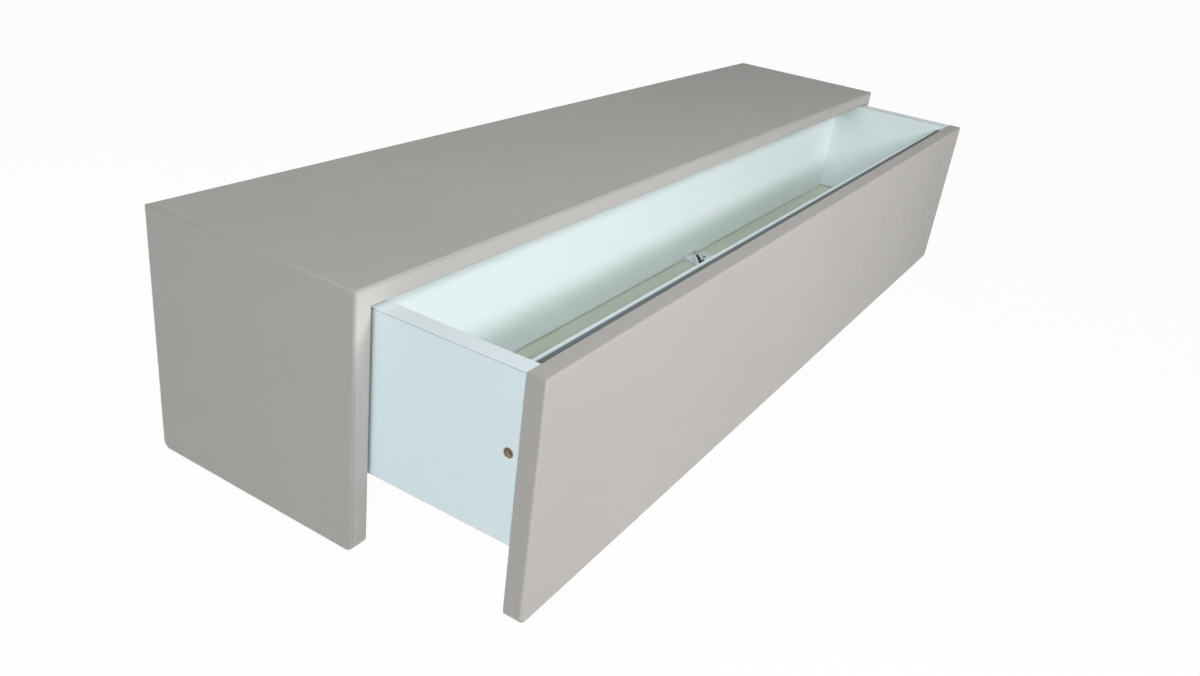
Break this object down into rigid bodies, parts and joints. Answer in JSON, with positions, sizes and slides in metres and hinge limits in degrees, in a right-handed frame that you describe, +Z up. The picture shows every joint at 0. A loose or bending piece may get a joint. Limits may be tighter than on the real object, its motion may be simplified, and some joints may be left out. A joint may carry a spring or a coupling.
{
  "type": "floating sideboard",
  "caption": "Wall-hung sideboard with a mitred case and one full-width drawer on concealed full-extension runners, drawer shown pulled out.",
  "frame": {"origin": "on the back, midway between the two hanging plates, in the plane of the wall", "axes": "+X to the right seen from the front, +Y into the wall, +Z up"},
  "size_m": [1.5, 0.5, 0.3],
  "materials": {
    "lacquer": "satin warm grey lacquer on board",
    "melamine": "light grey melamine on board",
    "runner_steel": "zinc plated sheet steel",
    "screw_steel": "zinc plated",
    "dowel_wood": "bare beech and birch",
    "clip_nylon": "moulded dark nylon"
  },
  "bodies": {
    "case": {"back_panel": "lacquer", "bottom_rear_rail": "lacquer", "left_bottom_rail_dowel_high": "dowel_wood", "left_bottom_rail_dowel_low": "dowel_wood", "left_cabinet_rail": "runner_steel", "left_end_panel": "lacquer", "left_hanging_plate": "runner_steel", "left_hanging_screw_inner": "screw_steel", "left_hanging_screw_outer": "screw_steel", "left_mitre_spline": "dowel_wood", "left_rail_screw_front": "screw_steel", "left_rail_screw_rear": "screw_steel", "left_top_rail_dowel_high": "dowel_wood", "left_top_rail_dowel_low": "dowel_wood", "right_bottom_rail_dowel_high": "dowel_wood", "right_bottom_rail_dowel_low": "dowel_wood", "right_cabinet_rail": "runner_steel", "right_end_panel": "lacquer", "right_hanging_plate": "runner_steel", "right_hanging_screw_inner": "screw_steel", "right_hanging_screw_outer": "screw_steel", "right_mitre_spline": "dowel_wood", "right_rail_screw_front": "screw_steel", "right_rail_screw_rear": "screw_steel", "right_top_rail_dowel_high": "dowel_wood", "right_top_rail_dowel_low": "dowel_wood", "top_board": "lacquer", "top_hanging_rail": "lacquer"},
    "drawer": {"bracket_back_screw": "screw_steel", "bracket_floor_screw": "screw_steel", "drawer_back": "melamine", "drawer_back_dowel_left_high": "dowel_wood", "drawer_back_dowel_left_low": "dowel_wood", "drawer_back_dowel_right_high": "dowel_wood", "drawer_back_dowel_right_low": "dowel_wood", "drawer_floor": "melamine", "drawer_front": "lacquer", "drawer_front_dowel_left_high": "dowel_wood", "drawer_front_dowel_left_low": "dowel_wood", "drawer_front_dowel_right_high": "dowel_wood", "drawer_front_dowel_right_low": "dowel_wood", "drawer_inner_front": "melamine", "drawer_left_side": "melamine", "drawer_right_side": "melamine", "floor_bracket": "runner_steel", "front_screw_1": "screw_steel", "front_screw_2": "screw_steel", "front_screw_3": "screw_steel", "front_screw_4": "screw_steel", "left_drawer_rail": "runner_steel", "left_front_clip": "clip_nylon", "left_side_connector": "screw_steel", "right_drawer_rail": "runner_steel", "right_front_clip": "clip_nylon", "right_side_connector": "screw_steel"},
    "left_runner": {"left_intermediate_rail": "runner_steel"},
    "right_runner": {"right_intermediate_rail": "runner_steel"}
  },
  "joints": [
    {"name": "drawer_slide", "type": "slide", "parent": "case", "child": "drawer", "axis": [0, -1, 0], "range_m": [-0.2, 0.05]},
    {"name": "left_runner_slide", "type": "slide", "parent": "case", "child": "left_runner", "axis": [0, -1, 0], "range_m": [-0.105, 0.03]},
    {"name": "right_runner_slide", "type": "slide", "parent": "case", "child": "right_runner", "axis": [0, -1, 0], "range_m": [-0.105, 0.03]}
  ],
  "couplings": [
    {"joint": "left_runner_slide", "follows": "drawer_slide", "ratio": 0.5},
    {"joint": "right_runner_slide", "follows": "drawer_slide", "ratio": 0.5}
  ]
}
